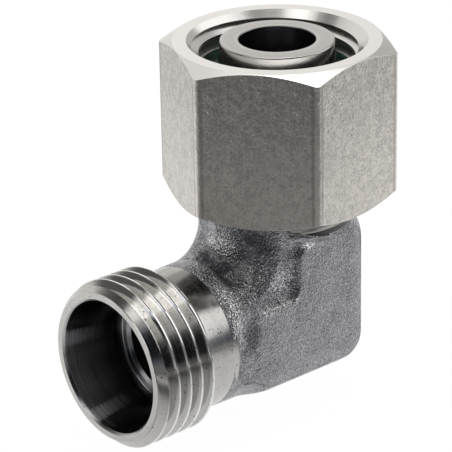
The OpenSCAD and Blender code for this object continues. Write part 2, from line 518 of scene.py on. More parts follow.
class NodeKit:
    """One node tree, with a method that adds any node."""

    def __init__(self, owner: bpy.types.ID) -> None:
        """Empties the tree of a material or a world."""
        owner.use_nodes = True
        self.owner = owner
        self.tree = owner.node_tree
        self.tree.nodes.clear()

    @classmethod
    def material(cls, name: str) -> "NodeKit":
        return cls(bpy.data.materials.new(name))

    def node(self, kind: str, settings: dict[str, Any] | None = None,
             inputs: dict[Any, Any] | None = None, output: Any = 0) -> Sock:
        """Adds a node.

        Args:
            kind: The node's type.
            settings: Properties that are set first. The stops of a ramp are a list under "stops".
            inputs: Values or sockets, by the input's name or number.
            output: The name or number of the output to return.

        Returns:
            The chosen output, or the first one.
        """
        made = self.tree.nodes.new(kind)
        for key, value in (settings or {}).items():
            if key == "stops":
                self._stops(made, value)
            else:
                setattr(made, key, value)
        for key, value in (inputs or {}).items():
            if isinstance(value, Sock):
                self.tree.links.new(value.socket, made.inputs[key])
            else:
                made.inputs[key].default_value = value
        return Sock(self, made.outputs[output] if len(made.outputs) else None)

    @staticmethod
    def _stops(made: Any, stops: Sequence[tuple[float, Sequence[float]]]) -> None:
        """Sets the stops of a colour ramp node.

        Args:
            made: The node.
            stops: Each stop's place and colour.
        """
        ramp = made.color_ramp
        while len(ramp.elements) > 1:
            ramp.elements.remove(ramp.elements[-1])
        for place, (position, colour) in enumerate(stops):
            stop = ramp.elements[0] if place == 0 else ramp.elements.new(position)
            stop.position = position
            stop.color = (*colour, 1.0)

    def coords(self) -> Sock:
        """Adds the Object coordinates.

        Returns:
            The place on the piece, in millimetres from the crossing.
        """
        place = self.node("ShaderNodeTexCoord", output="Object")
        shifted = self.node("ShaderNodeVectorMath", {"operation": "SUBTRACT"},
                            {0: place, 1: tuple(crossing())})
        return self.node("ShaderNodeVectorMath", {"operation": "SCALE"}, {0: shifted, "Scale": 1 / MM})

    def split(self, vector: Sock) -> tuple[Sock, Sock, Sock]:
        """Returns the three parts of a vector."""
        parts = self.node("ShaderNodeSeparateXYZ", inputs={0: vector}).socket.node
        return tuple(Sock(self, parts.outputs[name]) for name in "XYZ")

    def join(self, x: Any, y: Any, z: Any) -> Sock:
        """Returns a vector of three values."""
        return self.node("ShaderNodeCombineXYZ", inputs={0: x, 1: y, 2: z})

    def noise(self, vector: Sock, scale: float, detail: float = 2.0, rough: float = 0.5) -> Sock:
        """Returns a noise value, with its scale in cells to the millimetre."""
        return self.node("ShaderNodeTexNoise", {}, {
            "Vector": vector, "Scale": scale, "Detail": detail, "Roughness": rough})

    def mix(self, factor: Any, low: Any, high: Any) -> Sock:
        """Returns a mix of two colours, each a socket or three numbers."""
        low, high = (end if isinstance(end, Sock) else (*end, 1.0) for end in (low, high))
        return self.node("ShaderNodeMix", {"data_type": "RGBA"}, {0: factor, 6: low, 7: high}, output=2)

    def cells(self, vector: Sock, scale: float, output: str = "Distance") -> Sock:
        """Returns the distance to the middle of the nearest cell, or another of its values."""
        inputs = {"Vector": vector, "Scale": scale}
        return self.node("ShaderNodeTexVoronoi", {"feature": "F1"}, inputs, output)

    def bump(self, height: Sock, depth: float, below: Sock | None = None) -> Sock:
        """Adds a bump.

        Args:
            height: The height, from 0 to 1.
            depth: What a height of 1 stands for, in millimetres.
            below: A normal that this bump is laid on.

        Returns:
            The normal.
        """
        inputs: dict[Any, Any] = {"Height": height, "Distance": depth * MM, "Strength": 1.0}
        if below is not None:
            inputs["Normal"] = below
        return self.node("ShaderNodeBump", {}, inputs)

    def surface(self, inputs: dict[str, Any]) -> bpy.types.Material:
        """Ends the tree with a Principled shader and returns the material."""
        shader = self.node("ShaderNodeBsdfPrincipled", {}, inputs)
        self.node("ShaderNodeOutputMaterial", {}, {"Surface": shader})
        return self.owner


def shade(colour: Colour, factor: float, lift: float = 0.0) -> Colour:
    """Returns a colour made darker or lighter by a factor, and then lifted."""
    return tuple(part * factor + lift for part in colour)


@dataclass(frozen=True)
class Patch:
    """A soft patch of another tone, the same on both sides of the middle plane.

    Args:
        middle: Its middle about the crossing, with the distance from the middle plane as Y.
        size: Its half sizes.
        strength: How strong it is, up to 1.
    """

    middle: tuple[float, float, float]
    size: tuple[float, float, float]
    strength: float

    def mask(self, place: Sock, edge: Sock) -> Sock:
        """Works out how strong the patch is at a place.

        Args:
            place: The place, in millimetres about the crossing.
            edge: What moves the patch's rim in and out.

        Returns:
            The strength, from 0 to 1.
        """
        x, y, z = place.kit.split(place)
        far = [(axis - at) / half for axis, at, half in zip((x, y.size(), z), self.middle, self.size)]
        reach = (far[0] * far[0] + far[1] * far[1] + far[2] * far[2]) ** 0.5
        return (reach + edge).ramp(0.35, 1.1, 1.0, 0.0) * self.strength


@dataclass(frozen=True)
class BlastedForging:
    """Forged stainless steel, blasted matt, with a fine sparkle, scattered bright specks, patches of painted
    highlight and patches of painted shade.

    Args:
        dark: Colour in the hollows of the grain.
        light: Colour on its tops.
        rough: Roughness of the dull grain.
        highlight_patches: Patches of painted highlight, where the lamps glint on the crotch step, the neck
            and the crotch.
        shade_patches: Patches of painted shade, in the crotch hollow, under the nut and on the neck beside
            the flat.
        glint: Colour of the single bright grains.
        highlight_tone: Colour of the painted highlights.
        scale: Colour of the painted shade.
    """

    dark: Colour = (0.08, 0.082, 0.092)
    light: Colour = (0.46, 0.46, 0.475)
    rough: float = 0.27
    # Painted highlights: bright patches where the lamps glint on the crotch step, the neck and the crotch
    highlight_patches: tuple[Patch, ...] = (
        Patch((-7.9, 6.9, 3.5), (1.4, 0.8, 0.9), 1.0), Patch((-5.6, 6.9, 3.75), (2.2, 0.8, 0.85), 0.9),
        Patch((-2.2, 7.2, 9.6), (1.1, 1.0, 0.9), 0.9), Patch((-11.9, 5.6, 4.2), (1.3, 3.2, 4.6), 1.0),
        Patch((-8.3, 0.7, 8.8), (0.8, 2.4, 1.4), 0.9), Patch((-5.9, 6.3, 6.0), (2.0, 0.8, 1.8), 0.5))
    # Painted shade: dark patches in the crotch hollow, under the nut and on the neck beside the flat
    shade_patches: tuple[Patch, ...] = (
        Patch((-8.9, 1.0, 6.9), (1.4, 2.6, 1.1), 0.9), Patch((-6.9, 5.0, 10.6), (1.8, 3.0, 1.4), 0.5),
        Patch((-9.9, 6.8, 2.0), (0.9, 0.8, 3.0), 0.5))
    glint: Colour = (0.78, 0.78, 0.8)
    # Colour of the painted highlights
    highlight_tone: Colour = (0.95, 0.95, 0.96)
    # Colour of the painted shade
    scale: Colour = (0.03, 0.032, 0.04)

    def material(self) -> bpy.types.Material:
        """Mixes the grain, its glints, the painted highlight patches and the painted shade patches.

        Returns:
            The material.
        """
        kit = NodeKit.material("blasted_forging")
        place = kit.coords()
        warp = kit.noise(place, 1.2, 2.0, 0.5)
        shot = kit.node("ShaderNodeTexVoronoi", {"feature": "SMOOTH_F1"},
                        {"Vector": place, "Scale": 4.6, "Smoothness": 0.35, "Randomness": 1.0})
        grain = kit.noise(place, 5.0, 3.0, 0.6)
        patches = kit.noise(place, 0.45, 3.0, 0.55)
        sparkle = kit.split(kit.cells(place, 7.5, "Color"))[0].ramp(0.9, 0.98)
        flat = kit.split(place)[1].size().ramp(6.4, 6.85, 1.0, 0.0)
        cloud = patches.ramp(0.38, 0.62) * (0.13 + flat * 0.2) + 0.07 - flat * 0.07
        tone = grain.ramp(0.34, 0.66) * 0.42 + shot.ramp(0.0, 0.8) * 0.3 + cloud
        lively = 0.55 + flat * 0.6
        waves = kit.noise(place, 0.28, 1.0, 0.4)
        colour = kit.mix(tone, self.dark, self.light)
        colour = kit.mix(sparkle * lively * 0.5, colour, self.glint)
        edge = patches.ramp(0.3, 0.7, -0.3, 0.3)
        # Painted shade: dark patches where shade falls
        for patch in self.shade_patches:
            colour = kit.mix(patch.mask(place, edge), colour, self.scale)
        # Painted highlights: speckled bright patches where the lamps glint
        speckle = grain.ramp(0.42, 0.6)
        for patch in self.highlight_patches:
            colour = kit.mix(patch.mask(place, edge) * speckle, colour, self.highlight_tone)
        normal = kit.bump(waves * flat, 0.6)
        normal = kit.bump(warp, 0.12, normal)
        normal = kit.bump(shot * lively, 0.095, normal)
        normal = kit.bump(grain, 0.03, normal)
        return kit.surface({
            "Base Color": colour, "Metallic": 0.92,
            "Roughness": grain.ramp(0.3, 0.7, self.rough + 0.1, self.rough - 0.08) - sparkle * 0.1,
            "Normal": normal})


@dataclass(frozen=True)
class TurnedSteel:
    """Bright turned stainless steel with fine tool marks round its axis.

    Args:
        name: Name of the material.
        axis: The axis that the piece was turned about.
        inside_r: Radius below which the surface is the bore, darkened with painted shade, in millimetres.
        colour: Colour of the steel.
        rough: Roughness between the tool marks.
        marks: Depth of the tool marks, in millimetres.
        collar_shade_top: Height up to which the piece is darkened with painted shade, for the collar under
            the nut.
        crest_r: Radius above which thread crests are polished bright.
        shank_x: Place along X past which the top of the shank is darkened with painted shade.
        highlight_streaks: Ways in Y and Z of the painted highlight streaks along the inside.
        dirt: Strength of the grime and the specks on the outside.
        crest: Colour of the polished crests.
        grime: Colour of the grime.
        dull: Colour of the painted shade on the top of the shank.
        skin: Colour of the painted shade below that height.
        speck: Colour of the specks.
        bore: Colour of the inside, a painted shade.
        streak_highlight: Colour of the painted highlight streaks.
    """

    name: str
    axis: Axis
    inside_r: float
    colour: Colour = (0.62, 0.61, 0.59)
    rough: float = 0.13
    marks: float = 0.0025
    collar_shade_top: float = -99.0
    crest_r: float = 99.0
    shank_x: float = 99.0
    highlight_streaks: tuple[Point, ...] = ()
    dirt: float = 1.0
    crest: Colour = (0.95, 0.95, 0.94)
    grime: Colour = (0.25, 0.245, 0.24)
    dull: Colour = (0.2, 0.195, 0.185)
    skin: Colour = (0.035, 0.036, 0.04)
    speck: Colour = (0.05, 0.045, 0.04)
    bore: Colour = (0.17, 0.176, 0.19)
    streak_highlight: Colour = (0.8, 0.82, 0.86)

    def material(self) -> bpy.types.Material:
        """Mixes the tool marks, the crests, the grime, painted shade on the bore, the shank's top and the
        collar, and painted highlight streaks inside.

        Returns:
            The material.
        """
        kit = NodeKit.material(self.name)
        place = kit.coords()
        x, y, z = kit.split(place)
        along, side = (z, x) if self.axis is Axis.SWIVEL else (x, z)
        radius = side.across(y)
        rings = kit.noise(kit.join(along * 9.0, radius * 9.0, 0.0), 1.0, 3.0, 0.6)
        bands = kit.noise(kit.join(along * 0.9, radius * 0.9, 4.0), 1.0, 2.0, 0.5)
        cloud = kit.noise(place, 0.7, 2.0, 0.5)
        pit = kit.cells(place, 1.7).ramp(0.10, 0.20, 1.0, 0.0) * cloud.ramp(0.52, 0.58)
        colour = kit.mix(bands.ramp(0.35, 0.65) * 0.5 + rings * 0.3, shade(self.colour, 0.78), self.colour)
        crest = radius.ramp(self.crest_r, self.crest_r + 0.08)
        colour = kit.mix(crest * 0.9, colour, self.crest)
        inside = radius.ramp(self.inside_r - 0.1, self.inside_r + 0.1, 1.0, 0.0)
        grime = kit.noise(place, 3.2, 4.0, 0.7).ramp(0.5, 0.68) * (1.0 - inside) * self.dirt
        colour = kit.mix(grime * 0.3, colour, self.grime)
        # Painted shade: the top of the shank next to the forging is darkened
        dull = x.ramp(self.shank_x, self.shank_x + 0.2) * z.ramp(4.5, 6.8)
        colour = kit.mix(dull * 0.5, colour, self.dull)
        # Painted shade: the collar under the nut is darkened
        skin = z.ramp(self.collar_shade_top, self.collar_shade_top + 0.05, 1.0, 0.0)
        colour = kit.mix(skin * 0.9, colour, self.skin)
        pit = pit * (1.0 - inside) * self.dirt
        colour = kit.mix(pit * 0.8, colour, self.speck)
        # Painted shade: the bore is darkened
        colour = kit.mix(inside * 0.7, colour, self.bore)
        # Painted highlights: light streaks along the inside at the given ways
        streak_highlight = inside * 0.0
        for out, up in self.highlight_streaks:
            streak_highlight = streak_highlight.at_least(((y * out + z * up) / radius).ramp(0.986, 0.9995) * inside)
        streak_highlight = streak_highlight * radius.ramp(self.inside_r - 1.2, self.inside_r - 0.2, 0.3, 1.0)
        streak_highlight = streak_highlight * rings.ramp(0.25, 0.7, 0.4, 1.0)
        colour = kit.mix(streak_highlight * 0.65, colour, self.streak_highlight)
        rough = rings.ramp(0.3, 0.7, self.rough - 0.04, self.rough + 0.07) + cloud * 0.05
        cut = radius.ramp(self.crest_r - 0.9, self.crest_r - 0.7)
        rough = rough + grime * 0.1 + pit * 0.3 + streak_highlight * 0.35 - cut * 0.05
        return kit.surface({
            "Base Color": colour, "Metallic": 1.0, "Roughness": rough,
            "Normal": kit.bump(rings * (1.0 + inside * 8.0 - cut * 0.8), self.marks)})


@dataclass(frozen=True)
class BrushedNut:
    """Drawn hexagon steel: long grain along Z on its flats, tool marks where it was turned, painted shade
    that is lighter towards the bottom, and a painted dark reflection and highlight along its corners.

    Args:
        flat_r: Radius inside the hexagon's flats.
        top: Height of the nut's top face.
        bottom: Height of its bottom face.
        face_r: Radius at which the end chamfers start.
        colour: Colour of the steel.
        turned: Colour of its turned ends and mouth.
    """

    flat_r: float
    top: float
    bottom: float
    face_r: float
    colour: Colour = (0.58, 0.553, 0.517)
    turned: Colour = (0.74, 0.74, 0.735)

    def material(self) -> bpy.types.Material:
        """Mixes the drawn grain of the flats, the marks of the turned ends, painted shade that is lighter
        towards the bottom, and a painted dark reflection and highlight along the rounded corners.

        Returns:
            The material.
        """
        kit = NodeKit.material("brushed_nut")
        place = kit.coords()
        x, y, z = kit.split(place)
        radius = x.across(y)
        fall = (radius - self.face_r) * CHAMFER_SLOPE
        turned = (z - (self.top - 0.04 - fall)).above(0.0) + ((self.bottom + 0.04 + fall) - z).above(0.0)
        turned = (turned + (self.flat_r - 0.15 - radius).above(0.0)).at_most(1.0)
        grain = kit.noise(kit.join(x * 7.0, y * 7.0, z * 0.45), 1.0, 4.0, 0.65)
        fine = kit.noise(kit.join(x * 14.0, y * 14.0, z * 3.0), 1.0, 2.0, 0.6)
        rings = kit.noise(kit.join(z * 9.0, radius * 9.0, 0.0), 1.0, 3.0, 0.6)
        brushed = grain.ramp(0.4, 0.6) * 0.6 + fine.ramp(0.4, 0.6) * 0.4
        peel = kit.noise(place, 4.2, 3.0, 0.6)
        mottle = kit.noise(place, 1.1, 4.0, 0.65)
        dents = kit.noise(place, 1.5, 2.0, 0.5)
        rough_end = z.ramp(self.bottom + 6.0, self.top - 2.0, 0.25, 1.0)
        pocks = kit.cells(place, 1.3).ramp(0.1, 0.26, 1.0, 0.0) * mottle.ramp(0.44, 0.54) * rough_end
        height = brushed * 0.25 + peel * 2.6 + dents.ramp(0.3, 0.7) * rough_end * 1.6 - pocks * 4.5
        height = height * (1.0 - turned) + rings * turned * 0.3
        skin = brushed * 0.28 + peel.ramp(0.38, 0.62) * 0.42 + mottle.ramp(0.3, 0.7) * 0.36 - 0.08
        # Painted shade: the flats lighter towards the bottom, darker towards the top
        skin = skin + z.ramp(self.bottom + 2.0, self.top - 1.0, 0.28, 0.0)
        # Painted reflection: a dark band just inside each rounded corner
        skin = skin * (1.0 - radius.ramp(12.3, 12.4) * radius.ramp(12.46, 12.52, 1.0, 0.0) * 0.6)
        # Painted highlight along the rounded corners
        skin = skin + radius.ramp(12.5, 12.56) * 0.3
        tone = skin * (1.0 - turned) + (0.7 + rings * 0.45) * turned
        colour = kit.mix(tone, shade(self.colour, 0.6), shade(self.colour, 1.3))
        colour = kit.mix(turned * 0.6, colour, self.turned)
        rough = (0.36 + grain.ramp(0.3, 0.7, -0.06, 0.1)) * (1.0 - turned) + (0.17 + rings * 0.12) * turned
        return kit.surface({
            "Base Color": colour, "Metallic": 1.0, "Roughness": rough,
            "Normal": kit.bump(height, 0.014)})


@dataclass(frozen=True)
class SealRubber:
    """Green fluoro rubber with a faint mould line and a dull bloom.

    Args:
        colour: Colour of the rubber.
    """

    colour: Colour = (0.012, 0.135, 0.085)

    def material(self) -> bpy.types.Material:
        """Mixes the rubber and its bloom.

        Returns:
            The material.
        """
        kit = NodeKit.material("seal_rubber")
        place = kit.coords()
        bloom = kit.noise(place, 1.4, 3.0, 0.6)
        skin = kit.noise(place, 12.0, 2.0, 0.5)
        colour = kit.mix(bloom.ramp(0.4, 0.7) * 0.5, self.colour, shade(self.colour, 1.8, 0.02))
        return kit.surface({
            "Base Color": colour, "Roughness": bloom.ramp(0.3, 0.7, 0.34, 0.5),
            "Normal": kit.bump(skin, 0.008)})


@dataclass(frozen=True)
class SpringWire:
    """Drawn spring wire with fine draw lines.

    Args:
        colour: Colour of the wire.
    """

    colour: Colour = (0.42, 0.41, 0.40)

    def material(self) -> bpy.types.Material:
        """Mixes the draw lines of the wire.

        Returns:
            The material.
        """
        kit = NodeKit.material("spring_wire")
        place = kit.coords()
        x, y, z = kit.split(place)
        radius = x.across(y)
        lines = kit.noise(kit.join(z * 12.0, radius * 12.0, 0.0), 1.0, 2.0, 0.6)
        cloud = kit.noise(place, 0.8, 3.0, 0.6)
        colour = kit.mix(lines * 0.6 + cloud * 0.4, shade(self.colour, 0.6), self.colour)
        return kit.surface({
            "Base Color": colour, "Metallic": 1.0, "Roughness": cloud.ramp(0.3, 0.7, 0.22, 0.36),
            "Normal": kit.bump(lines, 0.006)})


def wear(piece: bpy.types.Object, material: bpy.types.Material) -> None:
    """Gives a piece or a CAD node one material in place of those that it has."""
    piece.data.materials.clear()
    piece.data.materials.append(material)


@dataclass
class ElbowBody:
    """The one-piece body: a forging, the turned fixed port and the turned swivel nose.

    Args:
        tube: Sizes of the tube connection.
        thread: Form of the outside thread.
        flat_y: Distance of the side flats from the middle plane.
        heel_x: Distance of the heel from the swivel axis.
        bottom_z: Distance of the bottom below the fixed port's axis.
        upright_inner: Distance of the upright leg's inner face from its axis.
        level_inner: Distance of the level leg's inner face from its axis.
        edge_r: Radius on the outer long edges.
        inner_edge_r: Radius on the inner long edges.
        corner_r: Radius between the heel and the bottom.
        crotch_r: Radius between the two legs.
        block_top: Height of the block's top at the heel.
        inner_top: Height of the block's top on its inner side.
        shoulder_r: Radius that rounds the block's top.
        forging_reach: Distance of the forging's end face from the swivel axis.
        neck_r: Radius of the round neck behind the end face.
        neck_land: Length of the round neck.
        neck_ease: Length over which the neck runs out into the faces.
        neck_proud: How far the neck stands out over the shank at the end face.
        corner_rise: How far the bar's corners stand over the neck where they start to run out.
        corner_lead: Distance of that run-out's end from the round neck.
        corner_ease: Length over which the corners run out.
        fixed_reach: Distance of the fixed port's face from the swivel axis.
        thread_len: Length of the thread.
        shank_r: Radius of the turned shank behind the thread.
        fixed_bore_r: Radius of the passage in the level leg.
        nose_reach: Distance of the nose's tip from the crossing.
        nose_bore_r: Radius of the passage in the upright leg.
        collar_r: Radius of the collar that the nut rests on.
        pad_corner: Place in X and Z where the side flat's two edges round the crotch would meet.
        pad_left: Place along X where the flat ends at the neck.
        pad_top: Place in X and Z where its upper edge starts.
        neck_waist: Place along X and distance from the middle plane of the hollow beside the flat.
        pad_rise: Height of the edges.
        pad_round: Radius where they meet.
        back_r: Radius of the forging that hides the collar on the inner side.
        back_end: Place along X where that round back ends.
        swell_foot: Radius and height at which the swell under the collar starts.
        swell_end: Place along X where the swell ends.
        swell_turn: Place along X where the swell's rim meets the collar's lower edge.
        swell_fall: Fall of that rim along X.
        grain: Size of the remesh's faces.
        ease_passes: Number of smoothing passes over the forging.
        mouth_chamfer: Chamfer at the mouth of the cone.
        stop_chamfer: Chamfer at the tube stop.
        collar_base: Height of that collar's lower edge.
        collar_step: Height of the small step in it.
        step_in: Depth of that step.
        collar_top: Height of its top.
        ring_z: Height of the retaining ring's groove.
        ring_r: Radius of the groove's middle.
        seal_z: Height of the seal's groove.
        seal_floor_r: Radius of the floor of the seal's groove.
        seal_half: Half the width of the seal's groove.
        groove_r: Radius of the retaining ring's groove in section.
    """

    tube: TubeSize
    thread: ThreadForm
    flat_y: float = 7.0
    heel_x: float = 6.8
    bottom_z: float = 6.6
    upright_inner: float = 7.3
    level_inner: float = 6.5
    edge_r: float = 2.4
    inner_edge_r: float = 3.7
    corner_r: float = 3.2
    crotch_r: float = 3.0
    block_top: float = 11.0
    inner_top: float = 12.1
    shoulder_r: float = 3.3
    forging_reach: float = 13.2
    neck_r: float = 7.8
    neck_land: float = 2.2
    neck_ease: float = 1.5
    neck_proud: float = 0.03
    corner_rise: float = 1.0
    corner_lead: float = 1.0
    corner_ease: float = 3.0
    fixed_reach: float = 24.0
    thread_len: float = 7.0
    shank_r: float = 7.7
    fixed_bore_r: float = 5.0
    nose_reach: float = 29.8
    nose_bore_r: float = 4.0
    collar_r: float = 8.05
    pad_corner: Point = (-3.5, 3.6)
    pad_left: float = -9.0
    pad_top: Point = (-3.4, 8.4)
    neck_waist: Point = (-11.2, 6.45)
    pad_rise: float = 0.65
    pad_round: float = 1.6
    back_r: float = 8.3
    back_end: float = -3.0
    swell_foot: Point = (6.9, 9.0)
    swell_end: float = 0.5
    swell_turn: float = -1.0
    swell_fall: float = 0.27
    grain: float = 0.2
    ease_passes: int = 22
    mouth_chamfer: float = 0.25
    stop_chamfer: float = 0.35
    collar_base: float = 10.4
    collar_step: float = 10.95
    step_in: float = 0.12
    collar_top: float = 12.7
    ring_z: float = 0.0
    ring_r: float = 0.0
    seal_z: float = 0.0
    seal_floor_r: float = 0.0
    seal_half: float = 0.9
    groove_r: float = 1.0

    def __post_init__(self) -> None:
        """Reads the places of the two grooves from the ring and the seal in the frame."""
        low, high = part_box("retaining_ring")
        self.ring_z = ((low.z + high.z) / 2 - crossing().z) / MM
        self.ring_r = high.y / MM - (high.z - low.z) / MM / 2
        low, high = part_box("cone_o_ring")
        self.seal_z = ((low.z + high.z) / 2 - crossing().z) / MM
        self.seal_floor_r = high.x / MM - (high.z - low.z) / MM - SLACK

    @property
    def end_r(self) -> float:
        """Returns the radius of the forging's round end face."""
        return self.shank_r + self.neck_proud

    @property
    def clear_r(self) -> float:
        """Returns a radius well outside the forging, which tools reach to."""
        return 3 * self.neck_r

    @property
    def thread_start(self) -> float:
        """Returns the distance of the thread's inner end from the swivel axis."""
        return self.fixed_reach - self.thread_len

    def bar(self) -> bpy.types.Object:
        """Makes the square bar, bent at a right angle and rounded at its corners.

        Returns:
            The bar.
        """
        bar = Bench.block("bar", (-self.forging_reach, -self.flat_y, -self.bottom_z),
                          (self.heel_x, self.flat_y, self.level_inner))
        Bench.edit(bar, every=True)
        bpy.ops.mesh.bisect(plane_co=(-self.upright_inner, 0, 0), plane_no=(1, 0, 0))
        bpy.ops.mesh.select_all(action="DESELECT")
        Bench.done()
        for face in bar.data.polygons:
            face.select = face.normal.z > 0.9 and face.center.x > -self.upright_inner
        bpy.ops.object.mode_set(mode="EDIT")
        bpy.ops.mesh.select_mode(type="FACE")
        rise = self.inner_top - self.level_inner
        bpy.ops.mesh.extrude_region_move(TRANSFORM_OT_translate={"value": (0, 0, rise)})
        bpy.ops.mesh.select_all(action="SELECT")
        bpy.ops.mesh.dissolve_limited(angle_limit=math.radians(1))
        Bench.done()
        self._round_corners(bar)
        return bar

    def _round_corners(self, bar: bpy.types.Object) -> None:
        """Rounds the bar's two bends, and then its long edges.

        Args:
            bar: The square bar.
        """
        heel, bottom, crotch = self.heel_x, -self.bottom_z, -self.upright_inner

        def at(point: Vector, x: float, z: float) -> bool:
            """Tells whether a point is on the line through x and z along Y."""
            return abs(point.x - x) < TOUCH and abs(point.z - z) < TOUCH

        Bench.bevel(bar, self.corner_r, 12,
                    lambda a, b: at(a, heel, bottom) and at(b, heel, bottom))
        Bench.bevel(bar, self.crotch_r, 12,
                    lambda a, b: at(a, crotch, self.level_inner) and at(b, crotch, self.level_inner))

        def on_side(a: Vector, b: Vector) -> bool:
            """Tells whether an edge lies in one of the side flats."""
            return abs(abs(a.y) - self.flat_y) < TOUCH and abs(a.y - b.y) < TOUCH

        def is_end(a: Vector, b: Vector) -> bool:
            """Tells whether an edge lies in one of the bar's two end faces."""
            left = max(a.x, b.x) < TOUCH - self.forging_reach
            return left or min(a.z, b.z) > self.inner_top - TOUCH

        def is_outer(a: Vector, b: Vector) -> bool:
            """Tells whether an edge lies on the heel, the bottom or the corner between them."""
            mid = (a + b) / 2
            return mid.x > heel - self.corner_r - TOUCH or mid.z < bottom + self.corner_r + TOUCH

        Bench.bevel(bar, self.edge_r, 8,
                    lambda a, b: on_side(a, b) and not is_end(a, b) and is_outer(a, b))

        def is_inner(a: Vector, b: Vector) -> bool:
            """Tells whether an edge lies on the two inner faces or the crotch."""
            mid = (a + b) / 2
            return mid.x < TOUCH - self.upright_inner + self.crotch_r and mid.z > self.level_inner - TOUCH

        Bench.bevel(bar, self.inner_edge_r, 10,
                    lambda a, b: on_side(a, b) and not is_end(a, b) and is_inner(a, b))

    def forging(self) -> bpy.types.Object:
        """Makes the blasted forging, soft at every edge, with its drilled passage.

        Returns:
            The forging, in the frame.
        """
        body = self.bar()
        self._round_neck(body)
        self._round_shoulder(body)
        for way in (-1, 1):
            for tool in self._round_pad(way):
                Bench.combine(body, tool, "DIFFERENCE")
        self._back_collar(body)
        body.name = "forged_elbow"
        self._soften(body)
        Bench.combine(body, self._passage(), "DIFFERENCE")
        side = self.clear_r
        end = Bench.lathe("forging_end", [
            (0, -side), (side, -side), (side, self.forging_reach), (0, self.forging_reach)], closed=False)
        Bench.settle(end, TO_FIXED)
        Bench.combine(body, end, "INTERSECT")
        Bench.place(body)
        Bench.smooth(body, 50)
        return body

    def _round_neck(self, body: bpy.types.Object) -> None:
        """Runs the bar's level leg out into a round neck.

        Args:
            body: The bar.
        """
        reach, start = self.forging_reach, self.forging_reach - self.neck_land
        lead, side = start - self.corner_lead, self.clear_r
        inner = self.neck_r - SLACK
        for upper in (True, False):
            limit = Bench.lathe("corner_limit", [
                (self.neck_r + self.corner_rise, lead - self.corner_ease), (side, lead - self.corner_ease),
                (side, reach + 3), (self.end_r - SLACK, reach + 3), (self.end_r - SLACK, reach),
                (inner, start), (inner, lead)])
            Bench.settle(limit, TO_FIXED)
            Bench.trim(limit, (0, 0, 0), (0, 0, -1 if upper else 1))
            if upper:
                Bench.trim(limit, (-self.upright_inner - self.crotch_r, 0, 0), (1, 0, 0))
            Bench.combine(body, limit, "DIFFERENCE")
        neck = Bench.lathe("neck", [
            (0, start - self.neck_ease), (self.neck_r - self.neck_ease, start - self.neck_ease),
            (self.neck_r, start), (self.end_r, reach), (self.end_r, reach + 2), (0, reach + 2)],
            closed=False)
        Bench.settle(neck, TO_FIXED)
        Bench.combine(body, neck, "UNION")

    def _round_shoulder(self, body: bpy.types.Object) -> None:
        """Rounds the outer half of the bar's top down from the collar.

        Args:
            body: The bar.
        """
        heel_r = math.hypot(self.heel_x - self.edge_r, self.flat_y - self.edge_r) + self.edge_r
        top, foot, past = self.block_top, self.block_top - self.shoulder_r, 2.0
        shoulder = Bench.lathe("shoulder", rounded([
            (0, top), (heel_r, top), (heel_r, foot), (heel_r + past, foot), (heel_r + past, top + past),
            (0, top + past)], {1: self.shoulder_r - SLACK / 2}, segments=10))
        Bench.trim(shoulder, (0, 0, 0), (-1, 0, 0))
        Bench.combine(body, shoulder, "DIFFERENCE")

    def _back_collar(self, body: bpy.types.Object) -> None:
        """Adds the round back that hides the collar on the inner side, and the swell under the collar.

        Args:
            body: The bar, with its neck and flats.
        """
        low, top = self.level_inner - 1, self.inner_top - SLACK / 2
        back = Bench.lathe("collar_back", [
            (0, low), (self.back_r, low), (self.back_r, top), (0, top)], closed=False)
        Bench.trim(back, (self.back_end, 0, 0), (1, 0, 0))
        back_y = self.flat_y - self.inner_edge_r / 2
        for way in (1, -1):
            Bench.trim(back, (0, way * back_y, 0), (0, way, 0))
        Bench.combine(body, back, "UNION")
        foot_r, foot_z = self.swell_foot
        swell_r, top = self.back_r + 0.015, self.inner_top - SLACK
        swell = Bench.lathe("collar_swell", [
            (0, foot_z), (foot_r, foot_z), (swell_r, self.collar_base), (swell_r, top), (0, top)],
            closed=False)
        Bench.trim(swell, (self.swell_end, 0, 0), (1, 0, 0))
        Bench.trim(swell, (self.swell_turn, 0, self.collar_base), (self.swell_fall, 0, 1))
        Bench.combine(body, swell, "UNION")

    def _round_pad(self, way: int) -> list[bpy.types.Object]:
        """Returns what is cut off round a side flat, so that it stands a little proud.

        Args:
            way: The side of the flat: -1 or 1.

        Returns:
            The tools for the crotch, for the upper end and for the neck.
        """
        edge_x, edge_z = self.pad_corner
        low_y = self.flat_y - self.pad_rise
        deep = 2 * self.crotch_r
        crotch = Bench.block("crotch_step", (self.pad_left, way * low_y, edge_z),
                             (edge_x, way * (low_y + deep), self.inner_top + 1))

        def at_corner(point: Vector) -> bool:
            """Tells whether a point is on the edge that is rounded."""
            return abs(point.x - edge_x) + abs(point.z - edge_z) < TOUCH

        Bench.bevel(crotch, self.pad_round, 6, lambda a, b: at_corner(a) and at_corner(b))
        top_x, top_z = self.pad_top
        upper = Bench.block("upper_step", (top_x - deep, way * (low_y + 1.5 * SLACK), top_z - 1),
                            (0.5, way * (low_y + deep + 0.1), self.inner_top + 0.5))
        Bench.trim(upper, (top_x, 0, top_z), (2, 0, -math.sqrt(2)))
        waist_x, waist_y = self.neck_waist
        neck = Bench.block("neck_step", (-self.forging_reach - 3, way * (waist_y - 1), -deep - 2),
                           (self.pad_left + SLACK, way * (low_y + deep), deep + 2))
        end = Vector((-self.forging_reach, way * self.end_r))
        for far in (end, Vector((self.pad_left, way * (self.flat_y + SLACK)))):
            slope = Vector((waist_x, way * waist_y)) - far
            across = Vector((slope.y, -slope.x)) * (1 if slope.x * way > 0 else -1)
            Bench.trim(neck, (far.x, far.y, 0), (across.x, across.y, 0))
        return [crotch, upper, neck]

